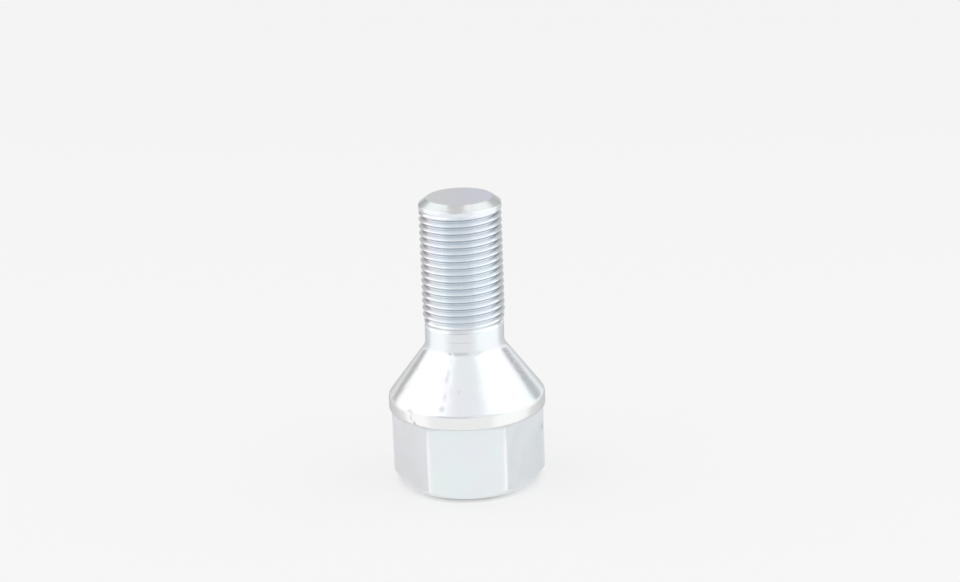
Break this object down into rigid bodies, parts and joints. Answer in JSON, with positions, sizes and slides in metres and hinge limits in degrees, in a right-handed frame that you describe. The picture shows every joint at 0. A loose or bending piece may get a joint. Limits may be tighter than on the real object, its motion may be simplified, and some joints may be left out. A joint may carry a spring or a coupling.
{
  "type": "wheel bolt",
  "caption": "Wheel bolt with a hexagon head, a round rim, a straight cone seat, a short plain neck and a fine right-hand thread with a chamfered tip.",
  "frame": {"origin": "centre of the flat end face of the head, on which the bolt stands", "axes": "+Z along the shank, from the head to the tip; the flats of the hexagon face -Y and +Y, and two of its corners point along -X and +X"},
  "size_m": [0.0224, 0.0224, 0.042],
  "materials": {
    "zinc_steel": "bright blue-white zinc plate on forged and rolled steel"
  },
  "bodies": {
    "root": {"wheel_bolt": "zinc_steel"}
  },
  "joints": []
}
